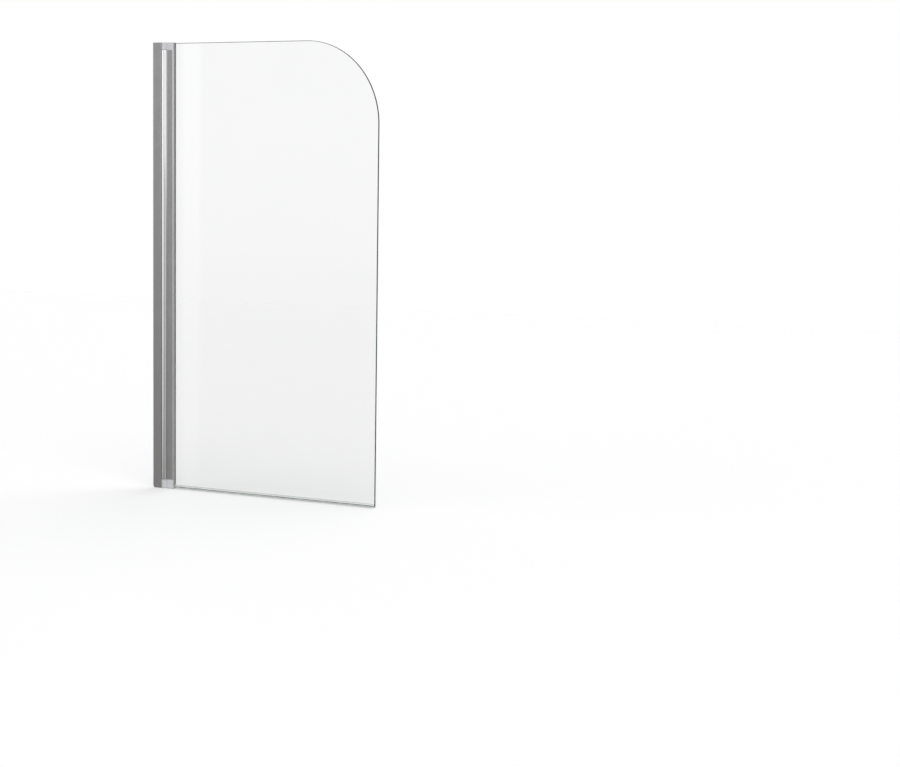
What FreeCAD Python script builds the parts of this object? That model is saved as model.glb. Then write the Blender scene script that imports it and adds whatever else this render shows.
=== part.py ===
import FreeCAD, Part
import math
import os

# Pivot bath screen, in millimetres. X runs from the wall along the screen, Y from the room side to the
# bath side, Z up. The origin is on the wall, at the middle of the wall profile's foot.

Vector = FreeCAD.Vector

# Overall sizes
screen_width = 800.0        # wall to the glass's free edge, with the post pushed right in
screen_height = 1400.0
travel = 10.0               # how far the post can be drawn out of the channel

# Wall profile
channel_depth = 30.0
channel_width = 26.0
channel_wall = 1.8
channel_web = 2.0
foot_clip = 5.0             # the clipped corner at the foot of each side wall
foot_clip_width = 4.0       # how far in from each side face that clip reaches
drill_groove = 0.6
wall_hole_r = 2.5
wall_hole_count = 4
wall_hole_end = 90.0        # from each end of the channel to the nearest wall hole
cover_plate = 2.5
cover_plug = 2.8
cover_plug_depth = 8.0

# Post
post_gap = 0.3              # to the channel's side walls
post_wall = 1.8
head_space = 3.5            # between the channel's web and the post, for the wall screws' heads
seat_gap = 0.5              # round the barrel
port_r = 2.0                # screw ports, threaded by their screws
port_wall = 1.4
port_sink = 0.3             # how far a port's wall runs into the wall beside it

# Barrel and pins
barrel_r = channel_width / 2    # the barrel is as wide as the wall profile
barrel_wall = 2.3
pin_r = 4.0
pin_fit = 0.05
pin_in_bush = 25.0
bush_flange = 1.0
bush_flange_rim = 1.0       # how far the bush's flange stays inside the barrel's outside
washer = 1.0
washer_r = 9.0

# Hinge profile's glass clamp
clamp_half = 8.0            # half its thickness
swing_gap = 1.0             # between the clamp and the channel's end when the door stands square out
clamp_end = 33.5            # from the axis to the mouth of the glass slot
clamp_corner = 2.2
clamp_wall = 2.2
slot_floor = 23.5           # from the axis to the bottom of the glass slot
slot_web = 2.0
slot_half = 5.2
lip = 0.8
lip_length = 1.2

# Glass
glass_thickness = 6.0
glass_corner_r = 250.0
glass_arris = 0.5
glass_top_gap = 2.0         # below the top end cap's upper face
glass_foot = 5.0            # above the bath rim
packer = 1.5                # between the slot's bottom and the glass edge

# Pivot blocks
top_block = 23.0            # height of the top knuckle and the top end cap
bottom_block = 28.0
knuckle_gap = 0.5
block_gap = 0.6             # between a knuckle and the end cap round it
end_cap_proud = 0.6         # beyond the clamp's faces
rim_gap = 0.5               # what the door and the bottom knuckle clear the rim by
tongue_length = 30.0
tongue_gap = 0.2
plug_length = 12.0

# Screws
screw_r = 2.0
screw_head_r = 3.75
screw_head = 2.4            # height of an adjustment screw's pan head
screw_bite = 15.0           # how far a screw goes into its port
recess_span = 4.4
recess_width = 0.9
recess_depth = 1.4
adjust_end = 120.0          # from each end of the channel to the nearest adjustment screw
adjust_count = 3
slot_clearance = 0.3
plate_length = 5.0
plate_thickness = 2.0
plate_height = 14.0
plate_gap = 0.3
plate_end_gap = 1.0         # to the back of the barrel's seat
snap_cap_wall = 1.0
snap_cap_gap = 0.2
snap_cap_bevel = 0.8

# Seals
gasket_lip = 3.9
gasket_lip_rise = 2.4
gasket_lip_edge = 0.8       # thickness of the lip's far edge
seal_wall = 1.1
seal_grip = 7.0             # how far the bottom seal reaches up the glass
seal_start_gap = 0.5
post_seal_width = 1.6
post_seal_depth = 1.0
post_seal_gap = 0.3
post_seal_angle = 30.0

# Levels and places worked out from the sizes above
axis_x = channel_depth + swing_gap + clamp_half
cover_z = screen_height - cover_plate
profile_foot = bottom_block
profile_top = screen_height - top_block
post_back = channel_web + head_space
post_half = channel_width / 2 - channel_wall - post_gap
seat_r = barrel_r + seat_gap
knuckle_clear_r = barrel_r + block_gap
bore_r = barrel_r - barrel_wall
bush_flange_r = barrel_r - bush_flange_rim
glass_half = glass_thickness / 2
glass_start = axis_x + slot_floor + packer
glass_top = screen_height - glass_top_gap
cap_half = clamp_half + end_cap_proud
port_r_out = port_r + port_wall
post_port_x = (post_back + axis_x - seat_r) / 2
post_port_y = -(post_half - post_wall - port_r_out + port_sink)
clamp_port_x = slot_floor - slot_web - port_r_out + port_sink
sink_depth = screw_head_r - screw_r
plate_outer_y = post_half - post_wall - plate_gap
plate_inner_y = plate_outer_y - plate_thickness
seat_back_x = axis_x - math.sqrt((seat_r + post_wall) ** 2 - plate_inner_y ** 2)
adjust_x = seat_back_x - plate_end_gap - plate_length / 2


def box(x0, x1, y0, y1, z0, z1):
    return Part.makeBox(x1 - x0, y1 - y0, z1 - z0, Vector(x0, y0, z0))


def rod(r, x, y, z0, z1):
    return Part.makeCylinder(r, z1 - z0, Vector(x, y, z0), Vector(0, 0, 1))


def cross_rod(r, x, z, y0, y1):
    return Part.makeCylinder(r, y1 - y0, Vector(x, y0, z), Vector(0, 1, 0))


def prism(points, z0, z1):
    """An upright extrusion of a closed outline of (x, y) points."""
    outline = Part.makePolygon([Vector(x, y, z0) for x, y in points + points[:1]])
    return Part.Face(outline).extrude(Vector(0, 0, z1 - z0))


def side_prism(points, y0, y1):
    """An extrusion along Y of a closed outline of (x, z) points."""
    outline = Part.makePolygon([Vector(x, y0, z) for x, z in points + points[:1]])
    return Part.Face(outline).extrude(Vector(0, y1 - y0, 0))


def along_prism(points, x0, x1):
    """An extrusion along X of a closed outline of (y, z) points."""
    outline = Part.makePolygon([Vector(x0, y, z) for y, z in points + points[:1]])
    return Part.Face(outline).extrude(Vector(x1 - x0, 0, 0))


def edges_where(shape, test):
    return [e for e in shape.Edges if test(e, e.BoundBox)]


def upright(e, b):
    return b.ZLength > 0.5 and b.XLength < 1e-4 and b.YLength < 1e-4


def level(b, z):
    return abs(b.ZMin - z) < 1e-4 and abs(b.ZMax - z) < 1e-4


def spread(first, last, count):
    return [first + (last - first) * i / (count - 1) for i in range(count)]


def save(name, shape):
    shape.removeSplitter().exportStep("parts/" + name + ".step")


wall_hole_levels = spread(wall_hole_end, screen_height - wall_hole_end, wall_hole_count)
adjust_levels = spread(adjust_end, screen_height - adjust_end, adjust_count)


def countersink(x, y, crown, up):
    """A countersunk head's cone, widest at the level crown, on the side that up points to."""
    return Part.makeCone(screw_head_r, screw_r, sink_depth, Vector(x, y, crown), Vector(0, 0, -up))


def upright_screw(x, y, crown, up, tip):
    """A countersunk screw along Z, its head flush with the level crown, its point at the level tip."""
    seat = crown - up * sink_depth
    shank = rod(screw_r, x, y, min(seat, tip), max(seat, tip))
    head = countersink(x, y, crown, up)
    recess = sorted((crown + up, crown - up * recess_depth))
    for width, depth in ((recess_span, recess_width), (recess_width, recess_span)):
        head = head.cut(box(x - width / 2, x + width / 2, y - depth / 2, y + depth / 2, recess[0], recess[1]))
    return shank.fuse(head)


# Wall channel

def wall_profile():
    half = channel_width / 2
    inner = half - channel_wall
    shape = box(0, channel_depth, -half, half, 0, cover_z)
    shape = shape.cut(box(channel_web, channel_depth + 1, -inner, inner, -1, cover_z + 1))
    groove = [
        (channel_web + 0.1, -drill_groove - 0.1),
        (channel_web - drill_groove, 0),
        (channel_web + 0.1, drill_groove + 0.1),
    ]
    shape = shape.cut(prism(groove, -1, cover_z + 1))
    for z in wall_hole_levels:
        hole = Part.makeCylinder(wall_hole_r, channel_web + 2, Vector(-1, 0, z), Vector(1, 0, 0))
        shape = shape.cut(hole)
    for z in adjust_levels:
        shape = shape.cut(cross_rod(screw_r, adjust_x, z, inner - 1, half + 1))
    corner = [(-1, -1), (foot_clip, -1), (foot_clip, 0), (0, foot_clip), (-1, foot_clip)]
    shape = shape.cut(side_prism(corner, -half - 1, -half + foot_clip_width))
    return shape.cut(side_prism(corner, half - foot_clip_width, half + 1))


def wall_profile_cap():
    half = channel_width / 2
    plate = box(0, channel_depth, -half, half, cover_z, screen_height)
    room_corners = edges_where(plate, lambda e, b: upright(e, b) and b.XMin > channel_depth - 1)
    plate = plate.makeFillet(1.0, room_corners)
    top_edges = edges_where(plate, lambda e, b: level(b, screen_height) and b.XMax > 1)
    plate = plate.makeChamfer(0.5, top_edges)
    inner = half - channel_wall
    plug = box(channel_web, channel_web + cover_plug, -inner, inner, cover_z - cover_plug_depth, cover_z)
    finger_room = box(channel_web - 1, channel_web + cover_plug + 1, -inner + 5, inner - 5,
                      cover_z - cover_plug_depth - 1, cover_z - 2)
    return plate.fuse(plug.cut(finger_room))


def adjustment_screws():
    face = channel_width / 2
    crown = face + screw_head
    screws = []
    for z in adjust_levels:
        shank = cross_rod(screw_r, adjust_x, z, plate_inner_y - 1, face)
        head = cross_rod(screw_head_r, adjust_x, z, face, crown)
        for width, height in ((recess_span, recess_width), (recess_width, recess_span)):
            recess = box(adjust_x - width / 2, adjust_x + width / 2, crown - recess_depth, crown + 1,
                         z - height / 2, z + height / 2)
            head = head.cut(recess)
        screws.append(shank.fuse(head))
    return Part.makeCompound(screws)


def clamp_plates():
    plates = []
    for z in adjust_levels:
        plate = box(adjust_x - plate_length / 2, adjust_x + plate_length / 2, plate_inner_y, plate_outer_y,
                    z - plate_height / 2, z + plate_height / 2)
        plates.append(plate.cut(cross_rod(screw_r, adjust_x, z, 0, channel_width)))
    return Part.makeCompound(plates)


def screw_cover_caps():
    face = channel_width / 2
    inside_r = screw_head_r + snap_cap_gap
    inside_y = face + screw_head + snap_cap_gap
    outside_y = inside_y + snap_cap_wall
    caps = []
    for z in adjust_levels:
        cap = cross_rod(inside_r + snap_cap_wall, adjust_x, z, face, outside_y)
        rim = edges_where(cap, lambda e, b: abs(b.YMin - outside_y) < 1e-4 and b.YLength < 1e-4)
        cap = cap.makeChamfer(snap_cap_bevel, rim)
        caps.append(cap.cut(cross_rod(inside_r, adjust_x, z, face - 1, inside_y)))
    return Part.makeCompound(caps)


# Post

def seal_blade(side, r0, r1, half_width):
    """A strip along the seat, from radius r0 to r1 about the hinge axis, on one side of its middle."""
    blade = box(axis_x - r1, axis_x - r0, -half_width, half_width, profile_foot, profile_top)
    blade.rotate(Vector(axis_x, 0, 0), Vector(0, 0, 1), side * post_seal_angle)
    return blade


def post_profile():
    z0, z1 = profile_foot, profile_top
    shape = box(post_back, channel_depth, -post_half, post_half, z0, z1)
    chamber_half = post_half - post_wall
    chamber = box(post_back + post_wall, channel_depth - 1, -chamber_half, chamber_half, z0 - 1, z1 + 1)
    shape = shape.cut(chamber.cut(rod(seat_r + post_wall, axis_x, 0, z0 - 2, z1 + 2)))
    shape = shape.fuse(rod(port_r_out, post_port_x, post_port_y, z0, z1))
    shape = shape.cut(rod(seat_r, axis_x, 0, z0 - 1, z1 + 1))
    shape = shape.cut(rod(port_r, post_port_x, post_port_y, z0 - 1, z1 + 1))
    for side in (-1, 1):
        shape = shape.cut(seal_blade(side, seat_r - 1, seat_r + post_seal_depth, post_seal_width / 2))
    slot = screw_r + slot_clearance
    for z in adjust_levels:
        shape = shape.cut(box(adjust_x - travel - slot, adjust_x + slot, chamber_half - 0.5, post_half + 1,
                              z - slot, z + slot))
    return shape


def post_seals():
    inner_r = barrel_r + post_seal_gap
    strips = [seal_blade(side, inner_r, seat_r + post_seal_depth, post_seal_width / 2) for side in (-1, 1)]
    return Part.makeCompound(strips)


def bracket(face, end, knuckle_face, tongue_end, ceiling):
    """A pivot bracket whose head runs from the post's end at face to end, its knuckle starting at knuckle_face.

    ceiling is the furthest level that the head may reach inside the channel.
    """
    up = 1 if end > face else -1
    head_half = post_half - tongue_gap
    head = box(post_back + tongue_gap, channel_depth - tongue_gap, -head_half, head_half,
               min(face, ceiling), max(face, ceiling))
    notch = sorted((face - up, knuckle_face))
    head = head.cut(rod(seat_r, axis_x, 0, notch[0], notch[1]))
    knuckle = rod(barrel_r, axis_x, 0, min(knuckle_face, end), max(knuckle_face, end))
    rims = edges_where(knuckle, lambda e, b: level(b, end) and b.XLength > 1)
    knuckle = knuckle.makeChamfer(0.8, rims)
    under_cover = sorted((ceiling, end + up))
    if under_cover[1] > under_cover[0]:
        knuckle = knuckle.cut(box(0, channel_depth + block_gap / 2, -channel_width, channel_width,
                                  under_cover[0], under_cover[1]))
    tongue_half = post_half - post_wall - tongue_gap
    tongue_back = post_back + post_wall + tongue_gap
    tongue_front = axis_x - seat_r - post_wall - tongue_gap
    tongue_side = post_port_y + port_r_out + tongue_gap
    tongue_levels = sorted((face, tongue_end))
    tongue = box(tongue_back, tongue_front, tongue_side, tongue_half, tongue_levels[0], tongue_levels[1])
    rib = 1.8
    middle = (tongue_back + tongue_front) / 2
    pockets = ((tongue_back + rib, middle - rib / 2), (middle + rib / 2, tongue_front - rib))
    pocket_levels = sorted((face - 3 * up, tongue_end - up))
    for x0, x1 in pockets:
        tongue = tongue.cut(box(x0, x1, tongue_side + rib, tongue_half - rib, pocket_levels[0], pocket_levels[1]))
    shape = head.fuse(knuckle).fuse(tongue)
    through = sorted((tongue_end - up, end + up))
    shape = shape.cut(rod(pin_r, axis_x, 0, through[0], through[1]))
    shape = shape.cut(rod(screw_r, post_port_x, post_port_y, through[0], through[1]))
    return shape.cut(countersink(post_port_x, post_port_y, ceiling, up))


top_ceiling = cover_z - post_gap
top_knuckle_face = profile_top + bush_flange + knuckle_gap
bottom_knuckle_face = profile_foot - bush_flange - washer


def top_pivot_bracket():
    return bracket(profile_top, screen_height, top_knuckle_face, profile_top - tongue_length, top_ceiling)


def bottom_pivot_bracket():
    return bracket(profile_foot, rim_gap, bottom_knuckle_face, profile_foot + tongue_length, rim_gap)


def pivot_pin(outer_end, inner_end):
    levels = sorted((outer_end, inner_end))
    return rod(pin_r, axis_x, 0, levels[0], levels[1])


def bracket_screws():
    top = upright_screw(post_port_x, post_port_y, top_ceiling, 1, profile_top - screw_bite)
    bottom = upright_screw(post_port_x, post_port_y, rim_gap, -1, profile_foot + screw_bite)
    return Part.makeCompound([top, bottom])


def thrust_washer():
    ring = rod(washer_r, axis_x, 0, bottom_knuckle_face, bottom_knuckle_face + washer)
    return ring.cut(rod(pin_r, axis_x, 0, 0, bottom_knuckle_face + 2 * washer))


# Door

def hinge_profile():
    z0, z1 = profile_foot, profile_top
    clamp = box(axis_x, axis_x + clamp_end, -clamp_half, clamp_half, z0, z1)
    mouth_corners = edges_where(clamp, lambda e, b: upright(e, b) and b.XMin > axis_x + 1)
    clamp = clamp.makeFillet(clamp_corner, mouth_corners)
    shape = clamp.fuse(rod(barrel_r, axis_x, 0, z0, z1))
    chamber_half = clamp_half - clamp_wall
    chamber = box(axis_x, axis_x + slot_floor - slot_web, -chamber_half, chamber_half, z0 - 1, z1 + 1)
    shape = shape.cut(chamber.cut(rod(barrel_r, axis_x, 0, z0 - 2, z1 + 2)))
    shape = shape.cut(rod(bore_r, axis_x, 0, z0 - 1, z1 + 1))
    slot_end = clamp_end - lip_length
    shape = shape.cut(box(axis_x + slot_floor, axis_x + slot_end, -slot_half, slot_half, z0 - 1, z1 + 1))
    mouth_half = slot_half - lip
    shape = shape.cut(box(axis_x + slot_end - 1, axis_x + clamp_end + 1, -mouth_half, mouth_half, z0 - 1, z1 + 1))
    port_x = axis_x + clamp_port_x
    shape = shape.fuse(rod(port_r_out, port_x, 0, z0, z1))
    shape = shape.cut(rod(port_r, port_x, 0, z0 - 1, z1 + 1))
    port_mouth = box(port_x - port_r_out - 1, port_x, -port_r / 2, port_r / 2, z0 - 1, z1 + 1)
    return shape.cut(port_mouth.cut(rod(barrel_r, axis_x, 0, z0 - 2, z1 + 2)))


def bush(face, inward):
    """A flanged bush in the barrel's end at face; inward is 1 where the barrel lies above that face."""
    inner_end = face + inward * pin_in_bush
    flange_end = face - inward * bush_flange
    body = rod(bore_r, axis_x, 0, min(face, inner_end), max(face, inner_end))
    flange = rod(bush_flange_r, axis_x, 0, min(face, flange_end), max(face, flange_end))
    return body.fuse(flange).cut(rod(pin_r + pin_fit, axis_x, 0, 0, screen_height))


def glass_panel():
    x1, z0, z1, r = screen_width, glass_foot, glass_top, glass_corner_r
    corner = Part.Arc(
        Vector(x1 - r, -glass_half, z1),
        Vector(x1 - r + r * math.sin(math.pi / 4), -glass_half, z1 - r + r * math.cos(math.pi / 4)),
        Vector(x1, -glass_half, z1 - r),
    ).toShape()
    points = [(x1, z1 - r), (x1, z0), (glass_start, z0), (glass_start, z1), (x1 - r, z1)]
    sides = [
        Part.makeLine(Vector(a[0], -glass_half, a[1]), Vector(b[0], -glass_half, b[1]))
        for a, b in zip(points[:-1], points[1:])
    ]
    pane = Part.Face(Part.Wire([corner] + sides)).extrude(Vector(0, glass_thickness, 0))
    rims = edges_where(pane, lambda e, b: b.YLength < 1e-4)
    return pane.makeChamfer(glass_arris, rims)


def gasket(side):
    """A glazing gasket between the slot's side and the glass.

    Its lip outside the slot's mouth runs on past the end caps, from the bottom seal to the glass's top.
    """
    x0 = slot_floor + packer + 0.5
    x1 = clamp_end - lip_length
    barb = 0.7
    tooth = 0.9
    teeth = spread(x0 + 2 * tooth, x1 - 1.5 * tooth, 3)
    outline = [(x0, glass_half), (clamp_end, glass_half), (clamp_end, slot_half - lip)]
    outline += [(x1, slot_half - lip), (x1, slot_half)]
    for x in reversed(teeth):
        outline += [(x + tooth, slot_half), (x, slot_half - barb)]
    outline += [(x0 + tooth, slot_half)]
    grip = prism([(axis_x + x, side * y) for x, y in outline], profile_foot, profile_top)
    lip_outline = [(0, glass_half), (gasket_lip, glass_half), (gasket_lip, glass_half + gasket_lip_edge)]
    lip_outline += [(0, glass_half + gasket_lip_rise)]
    lip_foot = glass_foot + seal_grip + seal_start_gap
    cover = prism([(axis_x + clamp_end + x, side * y) for x, y in lip_outline], lip_foot, glass_top)
    return grip.fuse(cover)


def glass_setting_blocks():
    length = 60.0
    half = glass_half + 1.2
    levels = spread(adjust_end, screen_height - adjust_end, 3)
    x0 = axis_x + slot_floor
    return Part.makeCompound([box(x0, x0 + packer, -half, half, z - length / 2, z + length / 2) for z in levels])


def end_cap(face, end, glass_edge):
    """An end cap on the hinge profile's end at face, out to end, forked over the glass up to glass_edge."""
    up = 1 if end > face else -1
    levels = (min(face, end), max(face, end))
    shape = box(axis_x, axis_x + clamp_end, -cap_half, cap_half, levels[0], levels[1])
    far_corners = edges_where(shape, lambda e, b: upright(e, b) and b.XMin > axis_x + 1)
    shape = shape.makeFillet(clamp_corner + end_cap_proud, far_corners)
    outer_rim = edges_where(shape, lambda e, b: level(b, end) and b.XMax > axis_x + 1)
    shape = shape.makeChamfer(0.8, outer_rim)
    shape = shape.cut(rod(knuckle_clear_r, axis_x, 0, levels[0] - 1, levels[1] + 1))
    slot_levels = sorted((face - up, glass_edge + up * 0.3))
    fork_half = glass_half + 0.1
    shape = shape.cut(box(glass_start - 0.2, axis_x + clamp_end + 1, -fork_half, fork_half,
                          slot_levels[0], slot_levels[1]))
    plug_half = clamp_half - clamp_wall - tongue_gap
    plug_end = face - up * plug_length
    plug_levels = sorted((face + up, plug_end))
    plug_x1 = axis_x + clamp_port_x - port_r_out - tongue_gap
    plug = box(axis_x, plug_x1, -plug_half, plug_half, plug_levels[0], plug_levels[1])
    plug = plug.cut(rod(knuckle_clear_r, axis_x, 0, plug_levels[0] - 1, plug_levels[1] + 1))
    shape = shape.fuse(plug)
    port_x = axis_x + clamp_port_x
    through = sorted((face - 2 * up, end + up))
    shape = shape.cut(rod(screw_r, port_x, 0, through[0], through[1]))
    return shape.cut(countersink(port_x, 0, end, up))


def top_end_cap():
    return end_cap(profile_top, screen_height, glass_top)


def bottom_end_cap():
    return end_cap(profile_foot, rim_gap, glass_foot)


def end_cap_screws():
    x = axis_x + clamp_port_x
    top = upright_screw(x, 0, screen_height, 1, profile_top - screw_bite)
    bottom = upright_screw(x, 0, rim_gap, -1, profile_foot + screw_bite)
    return Part.makeCompound([top, bottom])


def bottom_seal():
    """A push-on channel for the glass's bottom edge with a wiper lip below it, leaning to the bath side."""
    out = glass_half + seal_wall
    top = glass_foot + seal_grip
    floor = glass_foot - seal_wall - 0.3
    outline = [
        (-out, floor), (-out, top - 0.8), (-glass_half - 0.5, top), (-glass_half, top - 0.5),
        (-glass_half, glass_foot), (glass_half, glass_foot), (glass_half, top - 0.5),
        (glass_half + 0.5, top), (out, top - 0.8), (out, floor),
        (2.9, floor), (4.2, rim_gap), (3.0, rim_gap), (1.5, floor),
        (-1.2, floor), (-2.0, rim_gap + 1.2), (-2.9, rim_gap + 1.2), (-2.4, floor),
    ]
    return along_prism(outline, axis_x + clamp_end + seal_start_gap, screen_width - 1)


os.makedirs("parts", exist_ok=True)

save("wall_profile", wall_profile())
save("wall_profile_cap", wall_profile_cap())
save("adjustment_screws", adjustment_screws())
save("clamp_plates", clamp_plates())
save("screw_cover_caps", screw_cover_caps())

save("post_profile", post_profile())
save("post_seals", post_seals())
save("top_pivot_bracket", top_pivot_bracket())
save("bottom_pivot_bracket", bottom_pivot_bracket())
save("top_pivot_pin", pivot_pin(screen_height - 2, profile_top - pin_in_bush))
save("bottom_pivot_pin", pivot_pin(rim_gap + 2, profile_foot + pin_in_bush))
save("bracket_screws", bracket_screws())
save("thrust_washer", thrust_washer())

save("hinge_profile", hinge_profile())
save("top_bush", bush(profile_top, -1))
save("bottom_bush", bush(profile_foot, 1))
save("glass_panel", glass_panel())
save("front_gasket", gasket(-1))
save("rear_gasket", gasket(1))
save("glass_setting_blocks", glass_setting_blocks())
save("top_end_cap", top_end_cap())
save("bottom_end_cap", bottom_end_cap())
save("end_cap_screws", end_cap_screws())
save("bottom_seal", bottom_seal())
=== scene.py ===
import math
import bpy
import bmesh
from mathutils import Matrix, Vector


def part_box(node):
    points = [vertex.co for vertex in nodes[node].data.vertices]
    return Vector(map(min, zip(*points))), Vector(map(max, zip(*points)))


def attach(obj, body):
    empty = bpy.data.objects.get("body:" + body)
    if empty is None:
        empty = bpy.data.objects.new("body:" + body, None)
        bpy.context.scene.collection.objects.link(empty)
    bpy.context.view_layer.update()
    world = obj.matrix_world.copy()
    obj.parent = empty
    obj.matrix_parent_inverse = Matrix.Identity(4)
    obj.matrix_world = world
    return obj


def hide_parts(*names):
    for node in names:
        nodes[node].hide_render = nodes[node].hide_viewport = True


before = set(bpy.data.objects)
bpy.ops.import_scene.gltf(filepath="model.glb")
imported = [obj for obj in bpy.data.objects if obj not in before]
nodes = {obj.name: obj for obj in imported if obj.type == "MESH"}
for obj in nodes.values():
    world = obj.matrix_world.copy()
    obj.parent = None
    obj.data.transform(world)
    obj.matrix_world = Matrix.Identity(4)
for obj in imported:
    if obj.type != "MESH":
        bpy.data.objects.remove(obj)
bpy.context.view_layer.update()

scene = bpy.context.scene
millimetre = 0.001


# camera, where the photograph was taken from

photoCamera = {
    "place": (3.685, -5.241, 0.996),
    "turn": 26.72,      # degrees to the left of looking along +Y
    "tilt": -5.87,
    "roll": 0.83,
    "lens": 80.24,
    "sensor": 36,
    "farEnd": 100,
}


def makeCamera():
    data = bpy.data.cameras.new("photoCamera")
    data.lens = photoCamera["lens"]
    data.sensor_width = photoCamera["sensor"]
    data.clip_end = photoCamera["farEnd"]
    camera = bpy.data.objects.new("photoCamera", data)
    scene.collection.objects.link(camera)
    turn = Matrix.Rotation(math.radians(photoCamera["turn"]), 4, "Z")
    tilt = Matrix.Rotation(math.radians(90 + photoCamera["tilt"]), 4, "X")
    roll = Matrix.Rotation(math.radians(photoCamera["roll"]), 4, "Z")
    camera.matrix_world = Matrix.Translation(photoCamera["place"]) @ turn @ tilt @ roll
    scene.camera = camera


makeCamera()
print("camera set")


# studio

studio = {
    "floorSize": 16,
    "floorMiddle": (0.4, 0, -0.5 * millimetre),     # just under the foot
    "floorShade": 0.82,
    "floorRough": 0.9,
    "floorShine": 0.1,
    "floorLift": 0.145,         # added where the floor is seen, straight or through glass, to read white
    "ambient": 0.6,             # world, as the surfaces are lit by it
    "reflectedHigh": 0.62,      # world, as metal and glass show it
    "reflectedLow": 0.38,
    "lowFrom": -0.16,           # sines of the elevations between which the reflected world turns lighter
    "lowTo": -0.02,
    "cardStepsAcross": 8,
    "cardStepsUp": 24,
    "sideFade": 0.28,           # how far in a card fades from its sides and ends, as shares of its size
    "endFade": 0.1,
}

# broad even lamps: the direction each shines from, how wide it looks in degrees, and how strong it is
lamps = {
    "keyLamp": {"from": (3.4, -4.2, 3.6), "spread": 50, "strength": 1.1},
    "fillLamp": {"from": (-3.2, -3.4, 2.6), "spread": 60, "strength": 0.47},
    "backLamp": {"from": (0.6, 4.2, 3.2), "spread": 60, "strength": 0.95},
}

# cards that are seen only in reflections. Each stands off along its heading from the place it is mirrored
# at, near at the floor's level and far at its top, and its shade runs from its foot to its top
cards = {
    "greyCard": {"mirroredAt": (0.018, 0), "heading": 235.2, "near": 0.12, "far": 1.8,
                 "foot": -0.35, "top": 1.75, "footWidth": 0.15, "topWidth": 0.46,
                 "low": (0.20, 0.194, 0.186), "high": (0.335, 0.335, 0.338)},
    "leftCard": {"mirroredAt": (0.039, 0), "heading": 203, "near": 6.0, "far": 6.0,
                 "foot": -1.6, "top": 2.1, "footWidth": 8.0, "topWidth": 8.0,
                 "low": (0.62, 0.62, 0.63), "high": (1.65, 1.65, 1.66)},
    "narrowCard": {"mirroredAt": (0.039, 0), "heading": 252, "near": 0.3, "far": 0.3,
                   "foot": -0.3, "top": 1.65, "footWidth": 0.085, "topWidth": 0.085,
                   "low": (0.53, 0.53, 0.53), "high": (1.75, 1.75, 1.75)},
    "highCard": {"mirroredAt": (0.039, 0), "heading": 283, "near": 1.5, "far": 1.5,
                 "foot": 0.95, "top": 2.2, "footWidth": 0.6, "topWidth": 0.6,
                 "low": (1.3, 1.3, 1.3), "high": (1.3, 1.3, 1.3)},
    "darkCard": {"mirroredAt": (0.039, 0), "heading": 274, "near": 3.0, "far": 3.0,
                 "foot": -1.4, "top": 1.2, "footWidth": 1.5, "topWidth": 1.4,
                 "low": (0.12, 0.12, 0.12), "high": (0.26, 0.26, 0.26)},
    "rightCard": {"mirroredAt": (0.039, 0), "heading": 300, "near": 1.5, "far": 1.5,
                  "foot": -0.8, "top": 1.9, "footWidth": 0.42, "topWidth": 0.42,
                  "low": (0.2, 0.2, 0.2), "high": (1.2, 1.2, 1.2)},
    "sideCard": {"mirroredAt": (0.039, 0), "heading": 326, "near": 3.0, "far": 3.0,
                 "foot": -1.4, "top": 1.0, "footWidth": 1.7, "topWidth": 1.2,
                 "low": (0.05, 0.05, 0.05), "high": (0.2, 0.2, 0.2)},
}


def newMaterial(name):
    material = bpy.data.materials.new(name)
    material.use_nodes = True
    tree = material.node_tree
    return material, tree.nodes, tree.links.new


def colourBetween(tree, link, factor, dark, light):
    mix = tree.new("ShaderNodeMix")
    mix.data_type = "RGBA"
    mix.inputs["A"].default_value = (*dark, 1)
    mix.inputs["B"].default_value = (*light, 1)
    link(factor, mix.inputs["Factor"])
    return mix.outputs["Result"]


def rangeNode(tree, low, high, newLow, newHigh):
    node = tree.new("ShaderNodeMapRange")
    node.inputs["From Min"].default_value = low
    node.inputs["From Max"].default_value = high
    node.inputs["To Min"].default_value = newLow
    node.inputs["To Max"].default_value = newHigh
    return node


def mathNode(tree, kind, first=0.0, second=0.0):
    node = tree.new("ShaderNodeMath")
    node.operation = kind
    node.inputs[0].default_value = first
    node.inputs[1].default_value = second
    return node


def eitherRay(tree, link, first, second):
    path = tree.new("ShaderNodeLightPath")
    either = mathNode(tree, "MAXIMUM")
    link(path.outputs[first], either.inputs[0])
    link(path.outputs[second], either.inputs[1])
    return either.outputs[0]


def makeWorld():
    world = bpy.data.worlds.new("studioWorld")
    scene.world = world
    world.use_nodes = True
    tree = world.node_tree.nodes
    link = world.node_tree.links.new
    tree.clear()
    path = tree.new("ShaderNodeLightPath")
    place = tree.new("ShaderNodeTexCoord")
    split = tree.new("ShaderNodeSeparateXYZ")
    reflected = rangeNode(tree, studio["lowFrom"], studio["lowTo"],
                          studio["reflectedLow"], studio["reflectedHigh"])
    ambientOrReflected = tree.new("ShaderNodeMix")
    ambientOrReflected.inputs["A"].default_value = studio["ambient"]
    level = tree.new("ShaderNodeMix")
    level.inputs["B"].default_value = 1
    background = tree.new("ShaderNodeBackground")
    background.inputs["Color"].default_value = (1, 1, 1, 1)
    output = tree.new("ShaderNodeOutputWorld")
    link(place.outputs["Generated"], split.inputs[0])
    link(split.outputs["Z"], reflected.inputs["Value"])
    link(path.outputs["Is Glossy Ray"], ambientOrReflected.inputs["Factor"])
    link(reflected.outputs["Result"], ambientOrReflected.inputs["B"])
    link(eitherRay(tree, link, "Is Camera Ray", "Is Transmission Ray"), level.inputs["Factor"])
    link(ambientOrReflected.outputs["Result"], level.inputs["A"])
    link(level.outputs["Result"], background.inputs["Strength"])
    link(background.outputs[0], output.inputs["Surface"])


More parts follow.
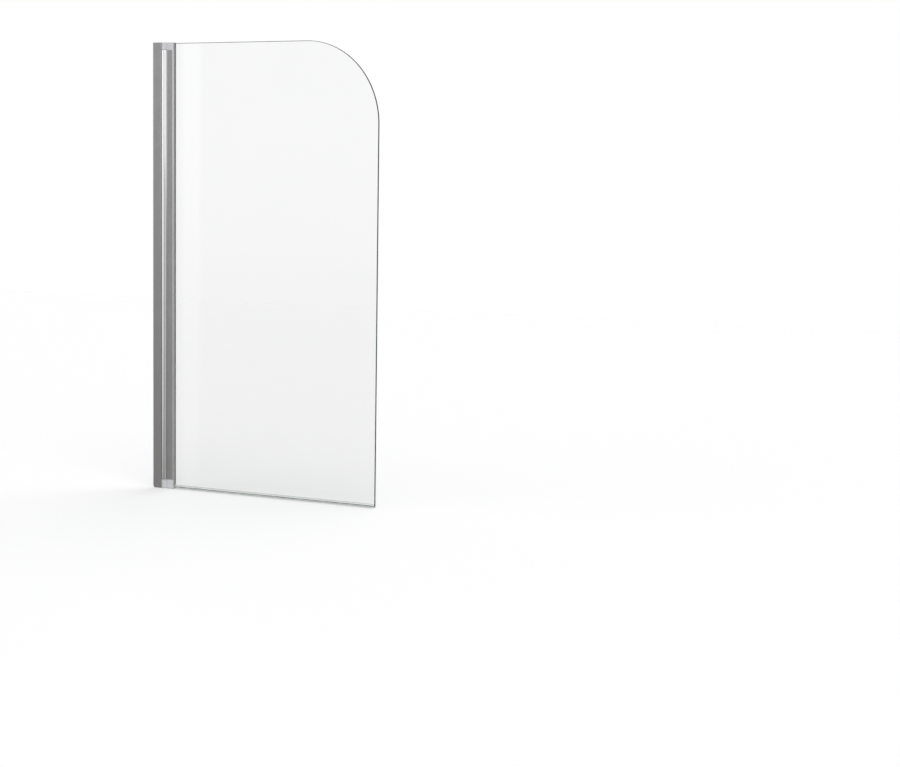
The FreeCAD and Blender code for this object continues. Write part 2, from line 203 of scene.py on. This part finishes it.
def makeFloor():
    shell = bmesh.new()
    bmesh.ops.create_grid(shell, x_segments=1, y_segments=1, size=studio["floorSize"] / 2)
    bmesh.ops.translate(shell, verts=shell.verts, vec=studio["floorMiddle"])
    floor = meshObject("studioFloor", shell)
    material, tree, link = newMaterial("paleFloor")
    shader = tree["Principled BSDF"]
    shader.inputs["Roughness"].default_value = studio["floorRough"]
    shader.inputs["Specular IOR Level"].default_value = studio["floorShine"]
    shade = studio["floorShade"]
    shader.inputs["Base Color"].default_value = (shade, shade, shade, 1)
    shader.inputs["Emission Color"].default_value = (1, 1, 1, 1)
    lift = mathNode(tree, "MULTIPLY", 0, studio["floorLift"])
    link(eitherRay(tree, link, "Is Camera Ray", "Is Transmission Ray"), lift.inputs[0])
    link(lift.outputs[0], shader.inputs["Emission Strength"])
    floor.data.materials.append(material)
    floor.visible_glossy = False        # reflections show the world in its place


def makeCard(name, card):
    shell = bmesh.new()
    shell.loops.layers.uv.new("card")
    bmesh.ops.create_grid(shell, x_segments=studio["cardStepsAcross"], y_segments=studio["cardStepsUp"],
                          size=0.5, calc_uvs=True)
    for corner in shell.verts:
        height = card["foot"] + (card["top"] - card["foot"]) * (corner.co.y + 0.5)
        rise = max(0, height) / card["top"]     # upright below the floor's level
        width = card["footWidth"] + (card["topWidth"] - card["footWidth"]) * rise
        depth = card["near"] + (card["far"] - card["near"]) * rise
        corner.co = (corner.co.x * width, depth, height)
    turn = Matrix.Rotation(math.radians(card["heading"] - 90), 3, "Z")
    bmesh.ops.rotate(shell, verts=shell.verts, cent=(0, 0, 0), matrix=turn)
    bmesh.ops.translate(shell, verts=shell.verts, vec=(*card["mirroredAt"], 0))
    board = meshObject(name, shell)
    material, tree, link = newMaterial(name + "Paper")
    tree.remove(tree["Principled BSDF"])
    place = tree.new("ShaderNodeUVMap")
    place.uv_map = "card"
    split = tree.new("ShaderNodeSeparateXYZ")
    solid = mathNode(tree, "MULTIPLY")
    for index, (axis, fade) in enumerate((("X", studio["sideFade"]), ("Y", studio["endFade"]))):
        offMiddle = mathNode(tree, "SUBTRACT", 0, 0.5)
        fromMiddle = mathNode(tree, "ABSOLUTE")
        within = rangeNode(tree, 0.5, 0.5 - fade, 0, 1)
        within.interpolation_type = "SMOOTHSTEP"
        link(split.outputs[axis], offMiddle.inputs[0])
        link(offMiddle.outputs[0], fromMiddle.inputs[0])
        link(fromMiddle.outputs[0], within.inputs["Value"])
        link(within.outputs["Result"], solid.inputs[index])
    glow = tree.new("ShaderNodeEmission")
    clear = tree.new("ShaderNodeBsdfTransparent")
    blend = tree.new("ShaderNodeMixShader")
    link(place.outputs["UV"], split.inputs[0])
    link(colourBetween(tree, link, split.outputs["Y"], card["low"], card["high"]), glow.inputs["Color"])
    link(solid.outputs[0], blend.inputs["Fac"])
    link(clear.outputs[0], blend.inputs[1])
    link(glow.outputs[0], blend.inputs[2])
    link(blend.outputs[0], tree["Material Output"].inputs["Surface"])
    board.data.materials.append(material)
    board.visible_camera = False
    board.visible_diffuse = False
    board.visible_transmission = False
    board.visible_shadow = False


def makeLamp(name, settings):
    data = bpy.data.lights.new(name, "SUN")
    data.energy = settings["strength"]
    data.angle = math.radians(settings["spread"])
    lamp = bpy.data.objects.new(name, data)
    scene.collection.objects.link(lamp)
    lamp.matrix_world = Vector(settings["from"]).to_track_quat("Z", "Y").to_matrix().to_4x4()
    lamp.visible_glossy = False
    lamp.visible_transmission = False


def meshObject(name, shell):
    mesh = bpy.data.meshes.new(name)
    bmesh.ops.recalc_face_normals(shell, faces=shell.faces)
    shell.to_mesh(mesh)
    shell.free()
    piece = bpy.data.objects.new(name, mesh)
    scene.collection.objects.link(piece)
    return piece


makeWorld()
makeFloor()
for name, card in cards.items():
    makeCard(name, card)
for name, settings in lamps.items():
    makeLamp(name, settings)
scene.view_settings.view_transform = "Standard"
print("studio lit")


# effects that several finishes share

def startGroup(name, values, outputs):
    group = bpy.data.node_groups.new(name, "ShaderNodeTree")
    for label, value in values.items():
        socket = group.interface.new_socket(label, in_out="INPUT", socket_type="NodeSocketFloat")
        socket.default_value = value
    for label, kind in outputs.items():
        group.interface.new_socket(label, in_out="OUTPUT", socket_type=kind)
    return group, group.nodes, group.links.new


def addGroup(tree, group, **values):
    node = tree.new("ShaderNodeGroup")
    node.node_tree = group
    for name, value in values.items():
        node.inputs[name].default_value = value
    return node


def drawnLinesGroup():
    # fine tool lines: with a small AlongZ they run up an extrusion, with a large one round a turned pin
    group, tree, link = startGroup("drawnLines", {"Fineness": 2600, "AlongZ": 0.006},
                                   {"Lines": "NodeSocketFloat"})
    start = tree.new("NodeGroupInput")
    end = tree.new("NodeGroupOutput")
    place = tree.new("ShaderNodeTexCoord")
    stretch = tree.new("ShaderNodeCombineXYZ")
    stretch.inputs["X"].default_value = 1
    stretch.inputs["Y"].default_value = 1
    squeeze = tree.new("ShaderNodeVectorMath")
    squeeze.operation = "MULTIPLY"
    noise = tree.new("ShaderNodeTexNoise")
    noise.inputs["Detail"].default_value = 3
    noise.inputs["Roughness"].default_value = 0.6
    link(start.outputs["AlongZ"], stretch.inputs["Z"])
    link(place.outputs["Object"], squeeze.inputs[0])
    link(stretch.outputs[0], squeeze.inputs[1])
    link(squeeze.outputs[0], noise.inputs["Vector"])
    link(start.outputs["Fineness"], noise.inputs["Scale"])
    link(noise.outputs["Fac"], end.inputs["Lines"])
    return group


def handlingMarksGroup():
    # soft patches left by hands and cloths
    group, tree, link = startGroup("handlingMarks", {"Fineness": 22}, {"Marks": "NodeSocketFloat"})
    start = tree.new("NodeGroupInput")
    end = tree.new("NodeGroupOutput")
    place = tree.new("ShaderNodeTexCoord")
    noise = tree.new("ShaderNodeTexNoise")
    noise.inputs["Detail"].default_value = 4
    noise.inputs["Distortion"].default_value = 0.5
    spread = rangeNode(tree, 0.38, 0.68, 0, 1)
    link(place.outputs["Object"], noise.inputs["Vector"])
    link(start.outputs["Fineness"], noise.inputs["Scale"])
    link(noise.outputs["Fac"], spread.inputs["Value"])
    link(spread.outputs["Result"], end.inputs["Marks"])
    return group


def mouldedGrainGroup():
    # the even texture of a moulded face, with slow shade changes under it
    group, tree, link = startGroup("mouldedGrain", {"Fineness": 2400, "CloudFineness": 60},
                                   {"Grain": "NodeSocketFloat", "Clouds": "NodeSocketFloat"})
    start = tree.new("NodeGroupInput")
    end = tree.new("NodeGroupOutput")
    place = tree.new("ShaderNodeTexCoord")
    grain = tree.new("ShaderNodeTexNoise")
    grain.inputs["Detail"].default_value = 2
    clouds = tree.new("ShaderNodeTexNoise")
    clouds.inputs["Detail"].default_value = 3
    link(place.outputs["Object"], grain.inputs["Vector"])
    link(place.outputs["Object"], clouds.inputs["Vector"])
    link(start.outputs["Fineness"], grain.inputs["Scale"])
    link(start.outputs["CloudFineness"], clouds.inputs["Scale"])
    link(grain.outputs["Fac"], end.inputs["Grain"])
    link(clouds.outputs["Fac"], end.inputs["Clouds"])
    return group


def softEdgesGroup():
    # rounds the arrises a little, and says where they are
    group, tree, link = startGroup("softEdges", {"Radius": 0.0005},
                                   {"Normal": "NodeSocketVector", "Edges": "NodeSocketFloat"})
    start = tree.new("NodeGroupInput")
    end = tree.new("NodeGroupOutput")
    rounded = tree.new("ShaderNodeBevel")
    rounded.samples = 6
    flat = tree.new("ShaderNodeNewGeometry")
    closeness = tree.new("ShaderNodeVectorMath")
    closeness.operation = "DOT_PRODUCT"
    spread = rangeNode(tree, 0.995, 0.85, 0, 1)     # cosines of the turn away from the flat face
    link(start.outputs["Radius"], rounded.inputs["Radius"])
    link(rounded.outputs["Normal"], closeness.inputs[0])
    link(flat.outputs["Normal"], closeness.inputs[1])
    link(closeness.outputs["Value"], spread.inputs["Value"])
    link(rounded.outputs["Normal"], end.inputs["Normal"])
    link(spread.outputs["Result"], end.inputs["Edges"])
    return group


def lowerTintGroup():
    # a tint that makes the glass darker towards the bottom, more of it lower down
    group, tree, link = startGroup("lowerTint", {"Top": 1.1, "Foot": 0.5}, {"Film": "NodeSocketFloat"})
    start = tree.new("NodeGroupInput")
    end = tree.new("NodeGroupOutput")
    place = tree.new("ShaderNodeTexCoord")
    split = tree.new("ShaderNodeSeparateXYZ")
    amount = rangeNode(tree, 1, 0, 0, 1)
    amount.interpolation_type = "SMOOTHSTEP"
    link(place.outputs["Object"], split.inputs[0])
    link(split.outputs["Z"], amount.inputs["Value"])
    link(start.outputs["Top"], amount.inputs["From Min"])
    link(start.outputs["Foot"], amount.inputs["From Max"])
    link(amount.outputs["Result"], end.inputs["Film"])
    return group


drawnLines = drawnLinesGroup()
handlingMarks = handlingMarksGroup()
mouldedGrain = mouldedGrainGroup()
softEdges = softEdgesGroup()
lowerTint = lowerTintGroup()
print("shared effects made")


# finishes

edgeWearAndHighlight = 0.5      # how far an arris takes its brighter colour, partly wear and partly a painted highlight


def towards(tree, link, colour, amount, other):
    mix = tree.new("ShaderNodeMix")
    mix.data_type = "RGBA"
    mix.inputs["B"].default_value = (*other, 1)
    link(amount, mix.inputs["Factor"])
    link(colour, mix.inputs["A"])
    return mix.outputs["Result"]


def addValues(tree, link, first, second):
    node = mathNode(tree, "ADD")
    link(first, node.inputs[0])
    link(second, node.inputs[1])
    return node.outputs[0]


def scaled(tree, link, value, low, high):
    node = rangeNode(tree, 0, 1, low, high)
    link(value, node.inputs["Value"])
    return node.outputs["Result"]


def bumpOn(tree, link, shader, height, depth, normal):
    bump = tree.new("ShaderNodeBump")
    bump.inputs["Distance"].default_value = depth
    link(height, bump.inputs["Height"])
    link(normal, bump.inputs["Normal"])
    link(bump.outputs["Normal"], shader.inputs["Normal"])


def metalFinish(name, finish):
    material, tree, link = newMaterial(name)
    shader = tree["Principled BSDF"]
    shader.inputs["Metallic"].default_value = 1
    lines = addGroup(tree, drawnLines, Fineness=finish["fineness"], AlongZ=finish["alongZ"]).outputs["Lines"]
    marks = addGroup(tree, handlingMarks, Fineness=finish["markFineness"]).outputs["Marks"]
    edges = addGroup(tree, softEdges, Radius=finish["edge"])
    colour = colourBetween(tree, link, lines, finish["dark"], finish["light"])
    # arrises lighter: slight wear and a painted highlight
    wornAndHighlit = scaled(tree, link, edges.outputs["Edges"], 0, edgeWearAndHighlight)
    colour = towards(tree, link, colour, wornAndHighlit, finish["bright"])
    link(colour, shader.inputs["Base Color"])
    rough = addValues(tree, link, scaled(tree, link, lines, *finish["roughLines"]),
                      scaled(tree, link, marks, 0, finish["roughMarks"]))
    link(rough, shader.inputs["Roughness"])
    bumpOn(tree, link, shader, lines, finish["depth"], edges.outputs["Normal"])
    return material


def mouldedFinish(name, finish):
    material, tree, link = newMaterial(name)
    shader = tree["Principled BSDF"]
    shader.inputs["Specular IOR Level"].default_value = finish["shine"]
    grain = addGroup(tree, mouldedGrain, Fineness=finish["fineness"], CloudFineness=finish["cloudFineness"])
    edges = addGroup(tree, softEdges, Radius=finish["edge"])
    colour = colourBetween(tree, link, grain.outputs["Clouds"], finish["dark"], finish["light"])
    # arrises lighter: slight wear and a painted highlight
    wornAndHighlit = scaled(tree, link, edges.outputs["Edges"], 0, edgeWearAndHighlight)
    colour = towards(tree, link, colour, wornAndHighlit, finish["bright"])
    link(colour, shader.inputs["Base Color"])
    link(scaled(tree, link, grain.outputs["Grain"], *finish["rough"]), shader.inputs["Roughness"])
    bumpOn(tree, link, shader, grain.outputs["Grain"], finish["depth"], edges.outputs["Normal"])
    return material


def clearFinish(name, finish):
    # glass and clear plastic: the view comes through them, and lamps shine through to what is behind
    material, tree, link = newMaterial(name)
    shader = tree["Principled BSDF"]
    shader.inputs["Transmission Weight"].default_value = 1
    shader.inputs["IOR"].default_value = finish["ior"]
    marks = addGroup(tree, handlingMarks, Fineness=finish["markFineness"]).outputs["Marks"]
    colour = colourBetween(tree, link, marks, finish["dark"], finish["light"])
    # the pane turns darker towards the bottom
    if "lowTint" in finish:
        lowTint = addGroup(tree, lowerTint, Top=finish["tintTop"], Foot=finish["tintFoot"]).outputs["Film"]
        colour = towards(tree, link, colour, lowTint, finish["lowTint"])
    link(colour, shader.inputs["Base Color"])
    link(scaled(tree, link, marks, *finish["rough"]), shader.inputs["Roughness"])
    through = tree.new("ShaderNodeBsdfTransparent")
    through.inputs["Color"].default_value = (*finish["shadow"], 1)
    choose = tree.new("ShaderNodeMixShader")
    link(eitherRay(tree, link, "Is Shadow Ray", "Is Diffuse Ray"), choose.inputs["Fac"])
    link(shader.outputs[0], choose.inputs[1])
    link(through.outputs[0], choose.inputs[2])
    link(choose.outputs[0], tree["Material Output"].inputs["Surface"])
    return material


brightAluminium = {
    "fineness": 2600, "alongZ": 0.006, "markFineness": 22, "edge": 0.0006,
    "dark": (0.82, 0.82, 0.825), "light": (0.90, 0.90, 0.905), "bright": (0.94, 0.94, 0.945),
    "roughLines": (0.09, 0.13), "roughMarks": 0.03, "depth": 0.000003,
}
screwSteel = {
    "fineness": 3800, "alongZ": 1.0, "markFineness": 160, "edge": 0.0003,
    "dark": (0.50, 0.50, 0.51), "light": (0.66, 0.66, 0.67), "bright": (0.82, 0.82, 0.83),
    "roughLines": (0.20, 0.34), "roughMarks": 0.06, "depth": 0.00001,
}
pinSteel = {
    "fineness": 4200, "alongZ": 30.0, "markFineness": 120, "edge": 0.0003,
    "dark": (0.54, 0.54, 0.55), "light": (0.66, 0.66, 0.67), "bright": (0.85, 0.85, 0.86),
    "roughLines": (0.12, 0.24), "roughMarks": 0.04, "depth": 0.000006,
}
blockPlastic = {
    "fineness": 2400, "cloudFineness": 55, "edge": 0.0007, "shine": 0.4,
    "dark": (0.53, 0.53, 0.555), "light": (0.59, 0.59, 0.61), "bright": (0.68, 0.68, 0.69),
    "rough": (0.36, 0.50), "depth": 0.00003,
}
coverPlastic = {
    "fineness": 2800, "cloudFineness": 70, "edge": 0.0005, "shine": 0.4,
    "dark": (0.20, 0.20, 0.205), "light": (0.25, 0.25, 0.255), "bright": (0.34, 0.34, 0.345),
    "rough": (0.34, 0.46), "depth": 0.00002,
}
bushPlastic = {
    "fineness": 2000, "cloudFineness": 90, "edge": 0.0004, "shine": 0.4,
    "dark": (0.80, 0.79, 0.74), "light": (0.86, 0.85, 0.81), "bright": (0.9, 0.89, 0.86),
    "rough": (0.34, 0.48), "depth": 0.00002,
}
packerPlastic = {
    "fineness": 2000, "cloudFineness": 60, "edge": 0.0004, "shine": 0.35,
    "dark": (0.62, 0.62, 0.62), "light": (0.72, 0.72, 0.72), "bright": (0.78, 0.78, 0.78),
    "rough": (0.45, 0.6), "depth": 0.00003,
}
softStrip = {
    "fineness": 3200, "cloudFineness": 40, "edge": 0.0004, "shine": 0.3,
    "dark": (0.40, 0.40, 0.41), "light": (0.50, 0.50, 0.51), "bright": (0.55, 0.55, 0.56),
    "rough": (0.5, 0.68), "depth": 0.00003,
}
gasketRubber = {
    "fineness": 3200, "cloudFineness": 40, "edge": 0.0005, "shine": 0.3,
    "dark": (0.24, 0.24, 0.245), "light": (0.29, 0.29, 0.295), "bright": (0.36, 0.36, 0.365),
    "rough": (0.42, 0.6), "depth": 0.00003,
}
paneGlass = {
    "ior": 1.5, "markFineness": 3.5, "rough": (0.0, 0.004),
    "dark": (0.942, 0.948, 0.945), "light": (0.95, 0.955, 0.952), "shadow": (0.88, 0.9, 0.89),
    "lowTint": (0.9, 0.905, 0.901), "tintTop": 1.15, "tintFoot": 0.35,
}
edgeGlass = {
    "ior": 1.5, "markFineness": 60, "rough": (0.04, 0.12),
    "dark": (0.024, 0.029, 0.026), "light": (0.048, 0.055, 0.05), "shadow": (0.5, 0.55, 0.52),
}
sealPlastic = {
    "ior": 1.3, "markFineness": 45, "rough": (0.05, 0.14),
    "dark": (0.90, 0.915, 0.91), "light": (0.94, 0.95, 0.945), "shadow": (0.8, 0.82, 0.81),
}
lipPlastic = {
    "ior": 1.35, "markFineness": 70, "rough": (0.18, 0.32),
    "dark": (0.62, 0.64, 0.635), "light": (0.70, 0.72, 0.715), "shadow": (0.6, 0.62, 0.61),
}

aluminium = metalFinish("brightAluminium", brightAluminium)
steel = metalFinish("screwSteel", screwSteel)
groundSteel = metalFinish("groundSteel", pinSteel)
moulded = mouldedFinish("mouldedBlock", blockPlastic)
cover = mouldedFinish("mouldedCover", coverPlastic)
bearing = mouldedFinish("bearingPlastic", bushPlastic)
packer = mouldedFinish("packerPlastic", packerPlastic)
strip = mouldedFinish("softStrip", softStrip)
rubber = mouldedFinish("gasketRubber", gasketRubber)
glass = clearFinish("clearGlass", paneGlass)
glassEdge = clearFinish("polishedGlassEdge", edgeGlass)
clearPlastic = clearFinish("clearSeal", sealPlastic)
milkyPlastic = clearFinish("milkyLip", lipPlastic)
print("finishes made")


# construction nodes, each with its finish

nodeFinishes = {
    "wall_profile": aluminium,
    "wall_profile_cap": cover,
    "adjustment_screws": steel,
    "clamp_plates": steel,
    "screw_cover_caps": moulded,
    "post_profile": aluminium,
    "post_seals": strip,
    "top_pivot_bracket": moulded,
    "bottom_pivot_bracket": moulded,
    "top_pivot_pin": groundSteel,
    "bottom_pivot_pin": groundSteel,
    "bracket_screws": steel,
    "thrust_washer": bearing,
    "hinge_profile": aluminium,
    "top_bush": bearing,
    "bottom_bush": bearing,
    "glass_panel": glass,
    "front_gasket": rubber,
    "rear_gasket": rubber,
    "glass_setting_blocks": packer,
    "top_end_cap": moulded,
    "bottom_end_cap": moulded,
    "end_cap_screws": steel,
    "bottom_seal": clearPlastic,
}
for name, finish in nodeFinishes.items():
    for slot in nodes[name].material_slots:
        slot.material = finish
print("construction nodes finished:", len(nodeFinishes))


def pullOut(shell, faces, shift):
    # turns flat faces into a closed solid, with their copies at its other end
    grown = bmesh.ops.extrude_face_region(shell, geom=faces)["geom"]
    moved = [g for g in grown if isinstance(g, bmesh.types.BMVert)]
    bmesh.ops.translate(shell, verts=moved, vec=shift)
    bmesh.ops.recalc_face_normals(shell, faces=shell.faces)


# glass panel, with its round corner and polished rim

pane = {
    "corner": 0.25,
    "cornerSteps": 72,
    "rim": 0.0016,          # how far in from its edge each flat is rounded
    "rimSteps": 3,
    "smoothTurn": 10,       # degrees: two facets that turn less than this shade as one
}


def makePane():
    low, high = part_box("glass_panel")
    size = high - low
    middle = (low + high) / 2
    shell = bmesh.new()
    bmesh.ops.create_grid(shell, x_segments=1, y_segments=1, size=0.5)
    bmesh.ops.rotate(shell, verts=shell.verts, cent=(0, 0, 0), matrix=Matrix.Rotation(math.pi / 2, 3, "X"))
    bmesh.ops.scale(shell, verts=shell.verts, vec=(size.x, 1, size.z))
    bmesh.ops.translate(shell, verts=shell.verts, vec=(middle.x, low.y, middle.z))
    roundOff = [v for v in shell.verts if v.co.x > middle.x and v.co.z > middle.z]
    bmesh.ops.bevel(shell, geom=roundOff, affect="VERTICES", offset=pane["corner"], offset_type="OFFSET",
                    segments=pane["cornerSteps"], profile=0.5, material=-1)
    pullOut(shell, shell.faces[:], (0, size.y, 0))
    rims = [e for e in shell.edges if abs(e.verts[0].co.y - e.verts[1].co.y) < size.y / 2]
    bmesh.ops.bevel(shell, geom=rims, affect="EDGES", offset=pane["rim"], segments=pane["rimSteps"],
                    profile=0.5, material=-1)
    smoothTurn = math.radians(pane["smoothTurn"])
    for face in shell.faces:
        face.smooth = True
        isFlat = abs(face.normal.y) > math.cos(smoothTurn)
        face.material_index = 0 if isFlat else 1
    for edge in shell.edges:
        edge.smooth = edge.calc_face_angle(0) < smoothTurn
    piece = meshObject("glassPanel", shell)
    piece.data.materials.append(glass)
    piece.data.materials.append(glassEdge)
    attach(piece, "door")
    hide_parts("glass_panel")


makePane()
print("glass panel made")


# bottom seal: a clear channel pushed on the glass, with a soft drip lip and a wiper under it.
# Its sizes are in millimetres, and the outline's points are (y, z)

seal = {
    "outline": ((-4.1, 3.6), (-4.1, 11.2), (-3.5, 12.0), (-3.1, 11.5), (-3.1, 4.9), (3.1, 4.9),
                (3.1, 11.5), (3.5, 12.0), (4.1, 11.2), (4.1, 3.6), (2.9, 3.6), (4.2, 0.5),
                (3.0, 0.5), (1.5, 3.6), (-1.2, 3.6), (-2.0, 1.7), (-2.9, 1.7), (-2.4, 3.6)),
    "lipTop": 3.65,         # below this height the plastic is milky
    "round": 0.2,
    "roundSteps": 3,
}


def makeSeal():
    low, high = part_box("bottom_seal")
    shell = bmesh.new()
    ring = [shell.verts.new((low.x, y * millimetre, z * millimetre)) for y, z in seal["outline"]]
    length = high.x - low.x
    pullOut(shell, [shell.faces.new(ring)], (length, 0, 0))
    along = [e for e in shell.edges if abs(e.verts[0].co.x - e.verts[1].co.x) > length / 2]
    bmesh.ops.bevel(shell, geom=along, affect="EDGES", offset=seal["round"] * millimetre,
                    segments=seal["roundSteps"], profile=0.5, material=-1)
    for face in shell.faces:
        face.material_index = 1 if face.calc_center_median().z < seal["lipTop"] * millimetre else 0
    piece = meshObject("bottomSeal", shell)
    piece.data.materials.append(clearPlastic)
    piece.data.materials.append(milkyPlastic)
    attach(piece, "door")
    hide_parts("bottom_seal")


makeSeal()
print("bottom seal made")
